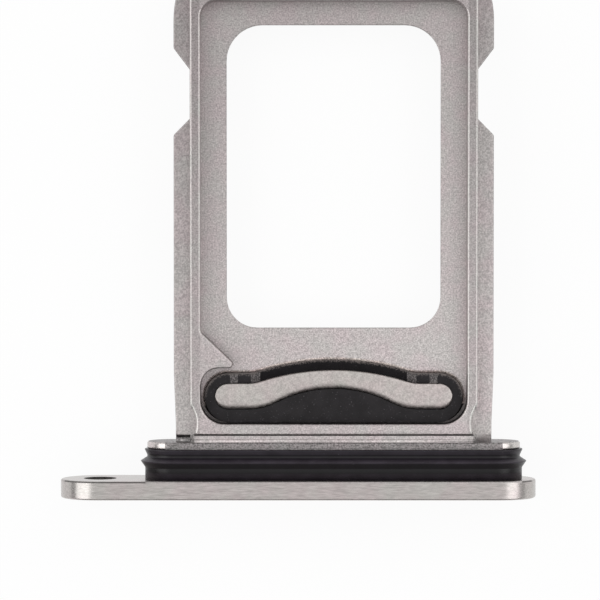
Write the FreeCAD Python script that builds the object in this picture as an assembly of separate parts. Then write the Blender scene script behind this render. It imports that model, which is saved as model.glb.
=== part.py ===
import FreeCAD, Part
import math
import os

# SIM card tray, two sided, in millimetres.
# The origin is the centre of the faceplate's outer face.
# X runs along the faceplate, +Y is the way the tray goes into the phone, +Z is up.
# The carrier's two sides are alike, so everything on it is level with Z = 0 at its middle.

# Card that each side carries
CARD_WIDTH = 8.80
CARD_LENGTH = 12.30
CARD_THICKNESS = 0.67
CARD_SIDE_GAP = 0.02
CARD_DEPTH_GAP = 0.03
CARD_PRELOAD = 0.05

# Faceplate
PLATE_LENGTH = 15.86
PLATE_HEIGHT = 2.62
PLATE_THICKNESS = 0.63
PLATE_EDGE_ROUND = 0.07

# Pinhole, concentric with the faceplate's end
PINHOLE_RADIUS = 0.55
PINHOLE_MOUTH_RADIUS = 0.69
PINHOLE_TAPER_DEPTH = 0.40

# Shoulder behind the faceplate, with the groove that the seal sits in
SHOULDER_LENGTH = 12.45
SHOULDER_HEIGHT = 1.78
SHOULDER_DEPTH = 1.25
SHOULDER_RIM = 0.25
SHOULDER_EDGE_BREAK = 0.04
SEAL_GROOVE_DEPTH = 0.25

# Carrier, set to the right of the faceplate's centre
CARRIER_OFFSET = 1.18
WEB_THICKNESS = 0.20
RAIL_WIDTH = 0.353
RAIL_EDGE_ROUND = 0.07
RAIL_TIP_RADIUS = 0.50
TIP_WALL = 0.67
POCKET_TIP_RADIUS = 0.52
POCKET_FOOT_RADIUS = 0.80

# Key corner of the card pocket
KEY_RUN_ACROSS = 1.256
KEY_RUN_ALONG = 1.197
KEY_TIP_RADIUS = 0.13
KEY_START_RADIUS = 0.25

# Window through the web
WINDOW_SIDE_MARGIN = 0.852
WINDOW_TIP_MARGIN = 0.763
WINDOW_FOOT_MARGIN = 1.065
WINDOW_TIP_RADIUS = 1.20
WINDOW_FOOT_RADIUS = 1.02
WINDOW_EDGE_BREAK = 0.03

# Wings that guide the tray, one each side
WING_WIDTH = 0.55
WING_THICKNESS = 0.56
WING_EDGE_BREAK = 0.04
WING_ROOT_INSET = 0.065
WING_ROOT_LENGTH = 2.25
WING_STEP_LENGTH = 0.24
WING_STEP_DEPTH = 0.03
WING_SLIT_DISTANCE = 0.14
WING_SLIT_WIDTH = 0.07
WING_SLIT_DEPTH = 0.16
LEAD_IN_LENGTH = 0.93
LEAD_IN_ANGLE = 12.0
LEAD_IN_RADIUS = 3.30
WING_TIP_RADIUS = 0.72

# Latch notch in each wing, its floor just inside the rail's side
NOTCH_TIP_DISTANCE = 2.215
NOTCH_LENGTH = 2.88
NOTCH_FOOT_RUN = 0.60
NOTCH_TIP_RUN = 0.78
NOTCH_FLOOR_RADIUS = 0.10
NOTCH_MOUTH_RADIUS = 0.15
NOTCH_FLOOR_SINK = 0.04

# Block between the pocket and the shoulder, with a stepped groove at its foot
ROOT_GROOVE_WIDTH = 0.26
ROOT_SLIT_WIDTH = 0.04
ROOT_SLIT_DEPTH = 0.12
ROOT_LEDGE_WIDTH = 0.11
ROOT_LEDGE_DEPTH = 0.06
ROOT_STEP_RUN = 0.02
ROOT_STEP_DEPTH = 0.02
BLOCK_WALL = 0.345
RECESS_TOP_MARGIN = 0.185
RECESS_FOOT_MARGIN = 0.03
RECESS_CORNER_RADIUS = 0.60
SCALLOP_RADIUS = 1.05
SCALLOP_DEPTH = 0.21
SCALLOP_DISTANCE = 0.62

# Spring arch that bears on the card's edge
LOBE_RADIUS = 0.43
LOBE_SPACING = 7.04
ARCH_RISE = 0.44
ARCH_CROWN_THICKNESS = 0.61
ARCH_CROWN_RADIUS = 8.00
ARCH_FOOT_RADIUS = 1.50
ARCH_UNDERSIDE_RADIUS = 4.20
ARCH_FLARE_RADIUS = 1.90
ARCH_SINK = 0.30
ARCH_EDGE_BREAK = 0.07

# Moulded insert that holds the arch
INSERT_BAND = 0.345
INSERT_FOOT_MARGIN = 0.44
INSERT_SINK = 0.38
INSERT_HOLE_BREAK = 0.08
INSERT_SLOT_LENGTH = 4.90
INSERT_SLOT_MEMBRANE = 0.12
INSERT_SLOT_SLANT = 0.30
INSERT_LAND_LENGTH = 0.74
INSERT_LAND_SINK = 0.10
INSERT_LAND_SLANT = 0.26

# Seal's lips, as heights above the shoulder's rim
SEAL_BAND_HEIGHT = 0.07
SEAL_BAND_WIDTH = 0.385
SEAL_LIP_HEIGHT = 0.22
SEAL_LIP_PLACE = 0.60
SEAL_LIP_FOOT = 0.74
SEAL_VALLEY_WIDTH = 0.06
SEAL_END_LIP_HEIGHT = 0.08
SEAL_END_LIP_WIDTH = 0.03

# Heights and stations that follow from the sizes above
POCKET_DEPTH = CARD_THICKNESS + CARD_DEPTH_GAP
CARRIER_TOP = WEB_THICKNESS / 2 + POCKET_DEPTH
WEB_TOP = WEB_THICKNESS / 2
WING_TOP = WING_THICKNESS / 2
ARCH_TOP = CARRIER_TOP - ARCH_SINK
INSERT_TOP = CARRIER_TOP - INSERT_SINK
LAND_TOP = INSERT_TOP - INSERT_LAND_SINK
POCKET_HALF = CARD_WIDTH / 2 + CARD_SIDE_GAP
RAIL_HALF = POCKET_HALF + RAIL_WIDTH
WING_HALF = RAIL_HALF + WING_WIDTH
LOBE_HALF = LOBE_SPACING / 2

BACK_Y = PLATE_THICKNESS
SHOULDER_END_Y = BACK_Y + SHOULDER_DEPTH
GROOVE_END_Y = SHOULDER_END_Y + ROOT_GROOVE_WIDTH
RECESS_FOOT_Y = GROOVE_END_Y + BLOCK_WALL
INSERT_FOOT_Y = RECESS_FOOT_Y + RECESS_FOOT_MARGIN
LOBE_Y = INSERT_FOOT_Y + INSERT_FOOT_MARGIN + LOBE_RADIUS
LOBE_TOP_Y = LOBE_Y + LOBE_RADIUS
LOBE_FOOT_Y = LOBE_Y - LOBE_RADIUS
CROWN_Y = LOBE_TOP_Y + ARCH_RISE
RECESS_TOP_Y = LOBE_TOP_Y + INSERT_BAND + RECESS_TOP_MARGIN
KEY_Y = RECESS_TOP_Y + KEY_RUN_ALONG
POCKET_TIP_Y = CROWN_Y + CARD_LENGTH - CARD_PRELOAD
TIP_Y = POCKET_TIP_Y + TIP_WALL
WINDOW_FOOT_Y = CROWN_Y + INSERT_BAND + WINDOW_FOOT_MARGIN
WINDOW_TIP_Y = POCKET_TIP_Y - WINDOW_TIP_MARGIN

TINY = 1e-6
CUT_ROOM = 1.0


def point(x, y, z=0.0):
    """A point in the tray's frame."""
    return FreeCAD.Vector(x, y, z)


def line(start, end):
    """Straight edge, or none where the two points meet."""
    if start.distanceToPoint(end) < TINY:
        return []
    return [Part.LineSegment(start, end).toShape()]


def arc(start, middle, end):
    """Edge on the circle through three points."""
    return [Part.Arc(start, middle, end).toShape()]


def unit(vector):
    """The same direction with a length of one."""
    return vector * (1.0 / vector.Length)


def corner_arc(before, corner, after, radius):
    """Start, middle and end of the arc that rounds a corner, kept within half of each side."""
    back = unit(before - corner)
    ahead = unit(after - corner)
    half_angle = back.getAngle(ahead) / 2
    room = min((before - corner).Length, (after - corner).Length)
    reach = min(radius / math.tan(half_angle), 0.98 * room)
    radius = reach * math.tan(half_angle)
    inward = unit(back + ahead)
    centre = corner + inward * (radius / math.sin(half_angle))
    return corner + back * reach, centre - inward * radius, corner + ahead * reach


def rounded_outline(corners):
    """Closed wire through corners given as (x, y, radius), each with its own round."""
    places = [point(x, y) for x, y, radius in corners]
    count = len(corners)
    arcs = []
    for index, (x, y, radius) in enumerate(corners):
        before = places[index - 1]
        after = places[(index + 1) % count]
        arcs.append(corner_arc(before, places[index], after, radius))
    edges = []
    for index, (start, middle, end) in enumerate(arcs):
        edges += arc(start, middle, end)
        edges += line(end, arcs[(index + 1) % count][0])
    return Part.Wire(edges)


def slab(wire, low, high):
    """Flat plate with the outline of the wire, from one height to another."""
    face = Part.Face(wire)
    face.translate(point(0, 0, low))
    return face.extrude(point(0, 0, high - low))


def block(x_range, y_range, z_range):
    """Box between three pairs of limits."""
    low = point(x_range[0], y_range[0], z_range[0])
    size = point(x_range[1], y_range[1], z_range[1]) - low
    return Part.makeBox(size.x, size.y, size.z, low)


def both_sides(shape):
    """A shape together with its mirror image under the middle of the carrier."""
    return [shape, shape.mirror(point(0, 0), point(0, 0, 1))]


def stadium(length, height, near_y, far_y):
    """Solid with a long round-ended outline, seen along Y."""
    radius = height / 2
    reach = length / 2 - radius
    top_left, top_right = point(-reach, near_y, radius), point(reach, near_y, radius)
    low_left, low_right = point(-reach, near_y, -radius), point(reach, near_y, -radius)
    edges = line(top_left, top_right)
    edges += arc(top_right, point(length / 2, near_y, 0), low_right)
    edges += line(low_right, low_left)
    edges += arc(low_left, point(-length / 2, near_y, 0), top_left)
    return Part.Face(Part.Wire(edges)).extrude(point(0, far_y - near_y, 0))


def flat_edges(shape, direction, level):
    """Edges that lie wholly in one plane across X, Y or Z."""
    found = []
    for edge in shape.Edges:
        box = edge.BoundBox
        low = getattr(box, direction + "Min")
        high = getattr(box, direction + "Max")
        if abs(low - level) < 1e-4 and abs(high - level) < 1e-4:
            found.append(edge)
    return found


def make_faceplate():
    """Round-ended outer plate with softened edges and the pinhole."""
    plate = stadium(PLATE_LENGTH, PLATE_HEIGHT, 0, PLATE_THICKNESS)
    rims = flat_edges(plate, "Y", 0) + flat_edges(plate, "Y", PLATE_THICKNESS)
    plate = plate.makeFillet(PLATE_EDGE_ROUND, rims)
    return plate.cut(make_pinhole())


def make_pinhole():
    """Straight bore with a steep tapered mouth on the outer face."""
    middle = point((PLATE_HEIGHT - PLATE_LENGTH) / 2, 0)
    inward = point(0, 1)
    bore = Part.makeCylinder(PINHOLE_RADIUS, PLATE_THICKNESS + CUT_ROOM, middle, inward)
    mouth = Part.makeCone(
        PINHOLE_MOUTH_RADIUS, PINHOLE_RADIUS, PINHOLE_TAPER_DEPTH, middle, inward
    )
    return bore.fuse(mouth)


def make_shoulder():
    """Core under the seal and the rim that keeps the seal on."""
    core = stadium(
        SHOULDER_LENGTH - 2 * SEAL_GROOVE_DEPTH,
        SHOULDER_HEIGHT - 2 * SEAL_GROOVE_DEPTH,
        BACK_Y - PLATE_THICKNESS / 2,
        SHOULDER_END_Y - SHOULDER_RIM / 2,
    )
    rim_y = SHOULDER_END_Y - SHOULDER_RIM
    rim = stadium(SHOULDER_LENGTH, SHOULDER_HEIGHT, rim_y, SHOULDER_END_Y)
    edges = flat_edges(rim, "Y", SHOULDER_END_Y) + flat_edges(rim, "Y", rim_y)
    rim = rim.makeChamfer(SHOULDER_EDGE_BREAK, edges)
    return core.fuse(rim)


def pocket_outline():
    """Card pocket and retainer recess in one outline, with the key corner between them."""
    key_tip_x = KEY_RUN_ACROSS - POCKET_HALF
    return rounded_outline([
        (-POCKET_HALF, POCKET_TIP_Y, POCKET_TIP_RADIUS),
        (POCKET_HALF, POCKET_TIP_Y, POCKET_TIP_RADIUS),
        (POCKET_HALF, RECESS_FOOT_Y, POCKET_FOOT_RADIUS),
        (-POCKET_HALF, RECESS_FOOT_Y, POCKET_FOOT_RADIUS),
        (-POCKET_HALF, RECESS_TOP_Y, RECESS_CORNER_RADIUS),
        (key_tip_x, RECESS_TOP_Y, KEY_TIP_RADIUS),
        (-POCKET_HALF, KEY_Y, KEY_START_RADIUS),
    ])


def make_frame_block():
    """Rails, tip wall and foot block with a card pocket sunk into each side."""
    root_y = SHOULDER_END_Y - SHOULDER_RIM / 2
    outline = rounded_outline([
        (-RAIL_HALF, TIP_Y, RAIL_TIP_RADIUS),
        (RAIL_HALF, TIP_Y, RAIL_TIP_RADIUS),
        (RAIL_HALF, root_y, RAIL_EDGE_ROUND),
        (-RAIL_HALF, root_y, RAIL_EDGE_ROUND),
    ])
    frame = slab(outline, -CARRIER_TOP, CARRIER_TOP)
    pocket = slab(pocket_outline(), WEB_TOP, CARRIER_TOP + CUT_ROOM)
    frame = frame.cut(both_sides(pocket))
    edge_round = min(RAIL_EDGE_ROUND, 0.8 * KEY_TIP_RADIUS)
    rims = flat_edges(frame, "Z", CARRIER_TOP) + flat_edges(frame, "Z", -CARRIER_TOP)
    return frame.makeFillet(edge_round, rims)


def root_groove():
    """Cutter across the block: a slit at the block, a low ledge and a step up to the shoulder."""
    half = RAIL_HALF + CUT_ROOM
    slit_y = GROOVE_END_Y - ROOT_SLIT_WIDTH
    ledge_y = slit_y - ROOT_LEDGE_WIDTH
    corners = [
        point(-half, SHOULDER_END_Y, CARRIER_TOP + CUT_ROOM),
        point(-half, GROOVE_END_Y, CARRIER_TOP + CUT_ROOM),
        point(-half, GROOVE_END_Y, CARRIER_TOP - ROOT_SLIT_DEPTH),
        point(-half, slit_y, CARRIER_TOP - ROOT_SLIT_DEPTH),
        point(-half, slit_y, CARRIER_TOP - ROOT_LEDGE_DEPTH),
        point(-half, ledge_y, CARRIER_TOP - ROOT_LEDGE_DEPTH),
        point(-half, ledge_y - ROOT_STEP_RUN, CARRIER_TOP - ROOT_STEP_DEPTH),
        point(-half, SHOULDER_END_Y, CARRIER_TOP - ROOT_STEP_DEPTH),
    ]
    return Part.Face(Part.makePolygon(corners + corners[:1])).extrude(point(2 * half, 0))


def make_root_cuts():
    """Stepped groove across the block at the shoulder and a scallop in each of its sides."""
    cuts = both_sides(root_groove())
    scallop_x = RAIL_HALF - SCALLOP_DEPTH + SCALLOP_RADIUS
    for x in (-scallop_x, scallop_x):
        foot = point(x, SHOULDER_END_Y + SCALLOP_DISTANCE, WING_TOP)
        scallop = Part.makeCylinder(SCALLOP_RADIUS, CARRIER_TOP + CUT_ROOM, foot)
        behind = block(
            (x - SCALLOP_RADIUS, x + SCALLOP_RADIUS),
            (SHOULDER_END_Y - CUT_ROOM, SHOULDER_END_Y),
            (WING_TOP, CARRIER_TOP + 2 * CUT_ROOM),
        )
        cuts += both_sides(scallop.cut(behind))
    return cuts


def wing_side():
    """Right edge of the wing plate from its root to its tip, as rounded corners."""
    notch_tip_y = TIP_Y - NOTCH_TIP_DISTANCE
    notch_foot_y = notch_tip_y - NOTCH_LENGTH
    floor_x = RAIL_HALF - NOTCH_FLOOR_SINK
    tip_x = WING_HALF - LEAD_IN_LENGTH * math.tan(math.radians(LEAD_IN_ANGLE))
    root_x = WING_HALF - WING_ROOT_INSET
    return [
        (root_x, SHOULDER_END_Y - SHOULDER_RIM / 2, 2 * WING_EDGE_BREAK),
        (root_x, SHOULDER_END_Y + SCALLOP_DISTANCE, LEAD_IN_RADIUS),
        (WING_HALF, SHOULDER_END_Y + WING_ROOT_LENGTH, LEAD_IN_RADIUS),
        (WING_HALF, notch_foot_y, NOTCH_MOUTH_RADIUS),
        (floor_x, notch_foot_y + NOTCH_FOOT_RUN, NOTCH_FLOOR_RADIUS),
        (floor_x, notch_tip_y - NOTCH_TIP_RUN, NOTCH_FLOOR_RADIUS),
        (WING_HALF, notch_tip_y, NOTCH_MOUTH_RADIUS),
        (WING_HALF, TIP_Y - LEAD_IN_LENGTH, LEAD_IN_RADIUS),
        (tip_x, TIP_Y, WING_TIP_RADIUS),
    ]


def make_wing_root_cuts():
    """Low step across the root of both wings, and a slit across the left one."""
    slit_y = SHOULDER_END_Y + WING_SLIT_DISTANCE
    step = block(
        (-WING_HALF, WING_HALF),
        (SHOULDER_END_Y, SHOULDER_END_Y + WING_STEP_LENGTH),
        (WING_TOP - WING_STEP_DEPTH, WING_TOP + CUT_ROOM),
    )
    slit = block(
        (-WING_HALF, -RAIL_HALF),
        (slit_y, slit_y + WING_SLIT_WIDTH),
        (WING_TOP - WING_SLIT_DEPTH, WING_TOP + CUT_ROOM),
    )
    return both_sides(step) + both_sides(slit)


def make_wings():
    """Thin plate that stands out past both rails, with its notches and root cuts."""
    right = wing_side()
    left = [(-x, y, radius) for x, y, radius in reversed(right)]
    plate = slab(rounded_outline(right + left), -WING_TOP, WING_TOP)
    rims = flat_edges(plate, "Z", WING_TOP) + flat_edges(plate, "Z", -WING_TOP)
    plate = plate.makeChamfer(WING_EDGE_BREAK, rims)
    pocket = slab(pocket_outline(), WEB_TOP, WING_TOP + CUT_ROOM)
    return plate.cut(make_wing_root_cuts() + both_sides(pocket))


def make_window():
    """Cutter for the window, with a slight break at both of its edges."""
    half = POCKET_HALF - WINDOW_SIDE_MARGIN

    def opening(grow, low, high):
        corners = [
            (-half - grow, WINDOW_TIP_Y + grow, WINDOW_TIP_RADIUS + grow),
            (half + grow, WINDOW_TIP_Y + grow, WINDOW_TIP_RADIUS + grow),
            (half + grow, WINDOW_FOOT_Y - grow, WINDOW_FOOT_RADIUS + grow),
            (-half - grow, WINDOW_FOOT_Y - grow, WINDOW_FOOT_RADIUS + grow),
        ]
        return slab(rounded_outline(corners), low, high)

    through = opening(0, -CARRIER_TOP, CARRIER_TOP)
    ledge = opening(WINDOW_EDGE_BREAK, WEB_TOP - WINDOW_EDGE_BREAK / 2, CARRIER_TOP)
    return [through] + both_sides(ledge)


def arch_edge(middle_y, rise, crown_radius, foot_radius, lobe_y):
    """Crown arc with a tangent foot arc at each end, from left to right, and where it ends."""
    turn = math.acos(1 - rise / (crown_radius + foot_radius))
    crown_x = crown_radius * math.sin(turn)
    crown_y = middle_y - crown_radius * (1 - math.cos(turn))
    foot_x = (crown_radius + foot_radius) * math.sin(turn)
    part_x = foot_x - foot_radius * math.sin(turn / 2)
    part_y = lobe_y + foot_radius * (1 - math.cos(turn / 2))
    edges = arc(point(-foot_x, lobe_y), point(-part_x, part_y), point(-crown_x, crown_y))
    edges += arc(point(-crown_x, crown_y), point(0, middle_y), point(crown_x, crown_y))
    edges += arc(point(crown_x, crown_y), point(part_x, part_y), point(foot_x, lobe_y))
    return edges, foot_x


def arch_outline():
    """Spring bar seen from above: two round lobes and the arched bar between them."""
    top, top_x = arch_edge(
        CROWN_Y, ARCH_RISE, ARCH_CROWN_RADIUS, ARCH_FOOT_RADIUS, LOBE_TOP_Y
    )
    underside_y = CROWN_Y - ARCH_CROWN_THICKNESS
    foot, foot_x = arch_edge(
        underside_y, underside_y - LOBE_FOOT_Y, ARCH_UNDERSIDE_RADIUS, ARCH_FLARE_RADIUS, LOBE_FOOT_Y
    )
    edges = list(top) + list(foot)
    for side in (-1, 1):
        lobe_top = point(side * LOBE_HALF, LOBE_TOP_Y)
        lobe_foot = point(side * LOBE_HALF, LOBE_FOOT_Y)
        edges += line(point(side * top_x, LOBE_TOP_Y), lobe_top)
        edges += arc(lobe_top, point(side * (LOBE_HALF + LOBE_RADIUS), LOBE_Y), lobe_foot)
        edges += line(lobe_foot, point(side * foot_x, LOBE_FOOT_Y))
    return Part.Wire(Part.sortEdges(edges)[0])


def insert_outline(band=INSERT_BAND):
    """Moulded insert seen from above: an even band over the arch and a straight foot."""
    band_y = LOBE_TOP_Y + band
    top, top_x = arch_edge(
        CROWN_Y + band, ARCH_RISE, ARCH_CROWN_RADIUS + band, ARCH_FOOT_RADIUS - band, band_y
    )
    foot_radius = LOBE_RADIUS + INSERT_FOOT_MARGIN
    end_x = LOBE_HALF + LOBE_RADIUS + band
    top_radius = LOBE_RADIUS + band
    slope = math.sqrt(0.5)
    edges = list(top)
    for side in (-1, 1):
        top_start = point(side * (end_x - top_radius), band_y)
        side_top = point(side * end_x, LOBE_Y)
        top_middle = point(
            side * (end_x - top_radius + top_radius * slope), LOBE_Y + top_radius * slope
        )
        foot_middle = point(
            side * (end_x - foot_radius + foot_radius * slope), LOBE_Y - foot_radius * slope
        )
        foot_end = point(side * (end_x - foot_radius), INSERT_FOOT_Y)
        edges += line(point(side * top_x, band_y), top_start)
        edges += arc(top_start, top_middle, side_top)
        edges += arc(side_top, foot_middle, foot_end)
    foot_x = end_x - foot_radius
    edges += line(point(-foot_x, INSERT_FOOT_Y), point(foot_x, INSERT_FOOT_Y))
    return Part.Wire(Part.sortEdges(edges)[0])


def slanted_trench(half_length, floor_z, slant, slant_z):
    """Cutter across the insert's card side, with ends that slant outwards up to a height."""
    top_half = half_length + slant
    corners = [
        point(-half_length, 0, floor_z),
        point(half_length, 0, floor_z),
        point(top_half, 0, slant_z),
        point(top_half, 0, CARRIER_TOP),
        point(-top_half, 0, CARRIER_TOP),
        point(-top_half, 0, slant_z),
    ]
    face = Part.Face(Part.makePolygon(corners + corners[:1]))
    trench = face.extrude(point(0, CROWN_Y + INSERT_BAND + CUT_ROOM, 0))
    return trench.common(card_side_of_arch())


def card_side_of_arch():
    """Everything between the lobes that lies on the card's side of the arch."""
    top, top_x = arch_edge(
        CROWN_Y, ARCH_RISE, ARCH_CROWN_RADIUS, ARCH_FOOT_RADIUS, LOBE_TOP_Y
    )
    far_y = CROWN_Y + INSERT_BAND + CUT_ROOM
    corners = [
        point(top_x, LOBE_TOP_Y),
        point(LOBE_HALF, LOBE_TOP_Y),
        point(LOBE_HALF, far_y),
        point(-LOBE_HALF, far_y),
        point(-LOBE_HALF, LOBE_TOP_Y),
        point(-top_x, LOBE_TOP_Y),
    ]
    edges = list(top)
    for start, end in zip(corners, corners[1:]):
        edges += line(start, end)
    return slab(Part.Wire(Part.sortEdges(edges)[0]), -CARRIER_TOP, CARRIER_TOP)


def make_insert():
    """Moulded insert with the arch's seat, the deep slot and a shallow land at each slot end."""
    insert = slab(insert_outline(), -INSERT_TOP, INSERT_TOP)
    slot_half = INSERT_SLOT_LENGTH / 2
    land_half = slot_half + INSERT_LAND_LENGTH
    slot = slanted_trench(slot_half, INSERT_SLOT_MEMBRANE / 2, INSERT_SLOT_SLANT, LAND_TOP)
    land = slanted_trench(land_half, LAND_TOP, INSERT_LAND_SLANT, INSERT_TOP)
    seat = slab(arch_outline(), -CARRIER_TOP, CARRIER_TOP)
    return insert.cut(both_sides(slot) + both_sides(land) + [seat])


def make_arch():
    """Spring bar with broken edges."""
    arch = slab(arch_outline(), -ARCH_TOP, ARCH_TOP)
    rims = flat_edges(arch, "Z", ARCH_TOP) + flat_edges(arch, "Z", -ARCH_TOP)
    return arch.makeChamfer(ARCH_EDGE_BREAK, rims)


def make_insert_hole():
    """Cutters for the insert's hole and for the broken edge of the web above the slot."""
    hole = slab(insert_outline(), -CARRIER_TOP, CARRIER_TOP)
    room = INSERT_HOLE_BREAK / 4
    narrow = insert_outline()
    wide = insert_outline(INSERT_BAND + INSERT_HOLE_BREAK + room)
    narrow.translate(point(0, 0, WEB_TOP - INSERT_HOLE_BREAK))
    wide.translate(point(0, 0, WEB_TOP + room))
    return [hole] + both_sides(Part.makeLoft([narrow, wide], True, True))


def make_body():
    """The whole machined piece: faceplate, shoulder and carrier."""
    carrier = make_frame_block().cut(make_root_cuts()).fuse(make_wings())
    carrier = carrier.cut(make_window() + make_insert_hole())
    carrier = place_on_carrier(carrier.fuse(make_shoulder()))
    return make_faceplate().fuse(carrier).removeSplitter()


def seal_profile():
    """Section of the seal as (height over the rim, distance from the faceplate)."""
    end_y = SHOULDER_DEPTH - SHOULDER_RIM
    lip_y = end_y - SEAL_END_LIP_WIDTH
    valley_y = SEAL_LIP_FOOT + SEAL_VALLEY_WIDTH
    return [
        (-SEAL_GROOVE_DEPTH, 0),
        (SEAL_BAND_HEIGHT, 0),
        (SEAL_BAND_HEIGHT, SEAL_BAND_WIDTH),
        (SEAL_LIP_HEIGHT, SEAL_LIP_PLACE),
        (0, SEAL_LIP_FOOT),
        (0, valley_y),
        (SEAL_END_LIP_HEIGHT, lip_y),
        (SEAL_END_LIP_HEIGHT, end_y),
        (-SEAL_GROOVE_DEPTH, end_y),
    ]


def make_seal():
    """Rubber ring in the shoulder's groove: its section carried round the long outline."""
    radius = SHOULDER_HEIGHT / 2
    reach = SHOULDER_LENGTH / 2 - radius
    section = [point(0, BACK_Y + y, radius + height) for height, y in seal_profile()]
    face = Part.Face(Part.makePolygon(section + section[:1]))
    pieces = []
    for side in (-1, 1):
        end = face.copy()
        end.translate(point(side * reach, 0))
        pieces.append(end.revolve(point(side * reach, 0), point(0, side), 180))
    top = face.copy()
    top.translate(point(-reach, 0))
    top = top.extrude(point(2 * reach, 0))
    pieces.append(top.mirror(point(0, 0), point(0, 0, 1)))
    return top.fuse(pieces).removeSplitter()


def place_on_carrier(shape):
    """Moves a piece built about the carrier's middle to its place on the tray."""
    shape.translate(point(CARRIER_OFFSET, 0))
    return shape


def build():
    """All pieces of the tray by name."""
    return {
        "tray_body": make_body(),
        "shoulder_seal": place_on_carrier(make_seal()),
        "retainer_elastomer": place_on_carrier(make_insert()),
        "retainer_arch": place_on_carrier(make_arch()),
    }


def main():
    """Writes one file for each piece."""
    os.makedirs("parts", exist_ok=True)
    for name, shape in build().items():
        shape.exportStep("parts/" + name + ".step")
        print(name, shape.ShapeType, len(shape.Solids), shape.isValid(), round(shape.Volume, 4))


if __name__ == "__main__":
    main()
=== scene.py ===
import logging
import math
from collections.abc import Callable
from dataclasses import dataclass, field
from enum import Enum

import bmesh
import bpy
from bpy.types import Material, Mesh, Node, NodeOutputs, NodeTree, Object
from bpy.types import NodeSocket as Socket
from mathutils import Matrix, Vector


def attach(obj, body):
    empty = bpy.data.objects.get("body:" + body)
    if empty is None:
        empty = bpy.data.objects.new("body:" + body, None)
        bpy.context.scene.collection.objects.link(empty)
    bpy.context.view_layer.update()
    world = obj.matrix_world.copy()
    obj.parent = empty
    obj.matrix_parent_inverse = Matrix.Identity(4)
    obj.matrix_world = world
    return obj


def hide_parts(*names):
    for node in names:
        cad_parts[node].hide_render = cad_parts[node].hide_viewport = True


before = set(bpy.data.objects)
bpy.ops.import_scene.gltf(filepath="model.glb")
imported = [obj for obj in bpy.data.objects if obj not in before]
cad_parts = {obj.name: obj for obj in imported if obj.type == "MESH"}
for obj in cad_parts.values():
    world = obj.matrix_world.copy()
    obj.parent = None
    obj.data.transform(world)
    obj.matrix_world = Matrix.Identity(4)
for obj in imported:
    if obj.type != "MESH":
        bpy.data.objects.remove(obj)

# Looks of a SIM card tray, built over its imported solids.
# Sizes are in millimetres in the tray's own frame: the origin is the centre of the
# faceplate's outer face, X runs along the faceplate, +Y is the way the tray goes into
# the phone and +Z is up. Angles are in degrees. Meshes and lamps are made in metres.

MM = 0.001
BODY = "root"
LOG = logging.getLogger("card_tray")

# Values between which a noise pattern passes from its dark to its light end.
PATTERN_RANGE = (0.36, 0.64)
GRAIN_DETAIL = 2.0

Colour = tuple[float, float, float]
Span = tuple[float, float]


class Texture(Enum):
    """How a metal surface was worked, as the stretch of its grain along X, Y and Z."""

    BLASTED = (1.0, 1.0, 1.0)
    BRUSHED = (0.02, 1.0, 1.0)
    MACHINED = (0.12, 1.0, 1.0)


class Zone(Enum):
    """Regions of the machined body that get materials of their own; several are painted light or
    shade.
    """

    OUTER_FACE = 0
    PLATE_EDGE = 1
    PLATE_RIM = 2
    PINHOLE = 3
    SHOULDER_FLAT = 4
    SHOULDER_RIM = 5
    SHOULDER_END = 6
    CARRIER = 7
    CARRIER_WALL = 8
    RECESS_WALL = 9
    BURNISHED = 10
    SCALLOP_HIGHLIGHT = 11
    HOLE_BREAK = 12
    GROOVE = 13


class Moulding(Enum):
    """Regions of the moulded insert."""

    TOP = 0
    SLANT = 1
    SLOT = 2


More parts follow.
